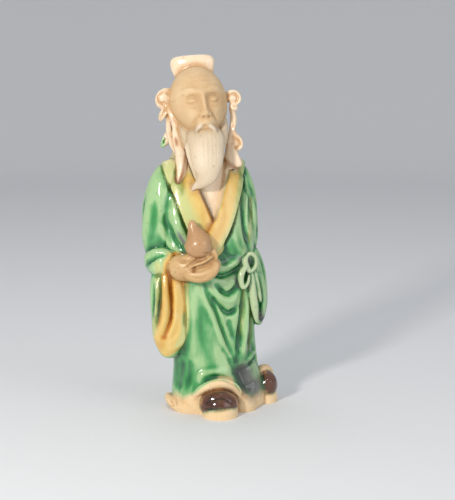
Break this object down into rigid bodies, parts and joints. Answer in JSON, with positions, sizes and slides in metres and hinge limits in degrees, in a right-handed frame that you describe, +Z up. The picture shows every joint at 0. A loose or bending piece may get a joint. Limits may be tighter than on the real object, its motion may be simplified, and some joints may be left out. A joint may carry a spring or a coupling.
{
  "type": "mudman figurine",
  "caption": "Small glazed clay figure of a standing old sage in a long wide-sleeved robe, with a long beard and a gourd in one hand.",
  "frame": {"origin": "on the flat underside, under the figure's upright axis", "axes": "+Z up, the figure faces -Y, its own right is -X"},
  "size_m": [0.0514, 0.0391, 0.1273],
  "materials": {
    "glazed_clay": "glossy coloured glaze over fired clay, bare clay on the face and the foot rim"
  },
  "bodies": {
    "root": {"figurine": "glazed_clay"}
  },
  "joints": []
}
